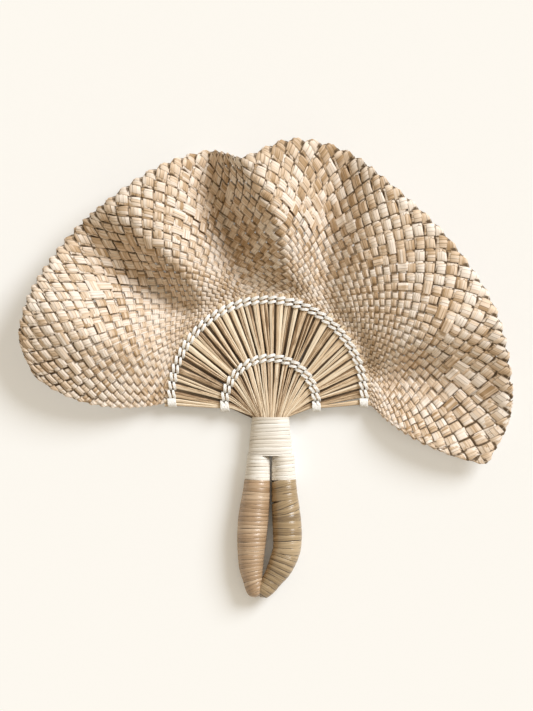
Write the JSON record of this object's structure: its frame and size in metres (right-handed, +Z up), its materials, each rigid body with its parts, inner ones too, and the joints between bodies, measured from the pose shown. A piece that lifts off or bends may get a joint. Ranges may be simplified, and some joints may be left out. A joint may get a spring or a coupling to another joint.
{
  "type": "woven hand fan",
  "caption": "Hand fan with a wide pleated blade of plaited straw on a half circle of stalks held by twined bands, gathered at a bound neck into a wrapped loop handle.",
  "frame": {"origin": "middle of the fan's outline, on the surface that it lies on", "axes": "+Z up out of the surface, +Y from the handle toward the blade's rim, +X to the right as seen from above"},
  "size_m": [0.3716, 0.3424, 0.0508],
  "materials": {
    "straw": "plaited dry straw, pale and slightly glossy",
    "stalk": "dry stalks, satin",
    "twine": "matt white twine",
    "cream_wrap": "cream fibre strip, matt",
    "tan_wrap": "tan leaf strip, satin",
    "olive_wrap": "olive brown leaf strip, satin"
  },
  "bodies": {
    "root": {"woven_blade": "straw", "stalk_01": "stalk", "stalk_02": "stalk", "stalk_03": "stalk", "stalk_04": "stalk", "stalk_05": "stalk", "stalk_06": "stalk", "stalk_07": "stalk", "stalk_08": "stalk", "stalk_09": "stalk", "stalk_10": "stalk", "stalk_11": "stalk", "stalk_12": "stalk", "stalk_13": "stalk", "stalk_14": "stalk", "stalk_15": "stalk", "stalk_16": "stalk", "stalk_17": "stalk", "stalk_18": "stalk", "stalk_19": "stalk", "stalk_20": "stalk", "stalk_21": "stalk", "stalk_22": "stalk", "stalk_23": "stalk", "stalk_24": "stalk", "stalk_25": "stalk", "stalk_26": "stalk", "stalk_27": "stalk", "stalk_28": "stalk", "stalk_29": "stalk", "stalk_30": "stalk", "stalk_31": "stalk", "stalk_32": "stalk", "stalk_33": "stalk", "stalk_34": "stalk", "stalk_35": "stalk", "stalk_36": "stalk", "stalk_37": "stalk", "stalk_38": "stalk", "inner_twine_1a": "twine", "inner_twine_1b": "twine", "outer_twine_1a": "twine", "outer_twine_1b": "twine", "inner_twine_2a": "twine", "inner_twine_2b": "twine", "outer_twine_2a": "twine", "outer_twine_2b": "twine", "gathered_butts": "stalk", "left_core": "stalk", "right_core": "stalk", "neck_wrap": "cream_wrap", "left_collar_wrap": "cream_wrap", "right_collar_wrap": "cream_wrap", "left_grip_wrap": "tan_wrap", "right_grip_wrap": "olive_wrap", "loop_end_wrap": "olive_wrap"}
  },
  "joints": []
}
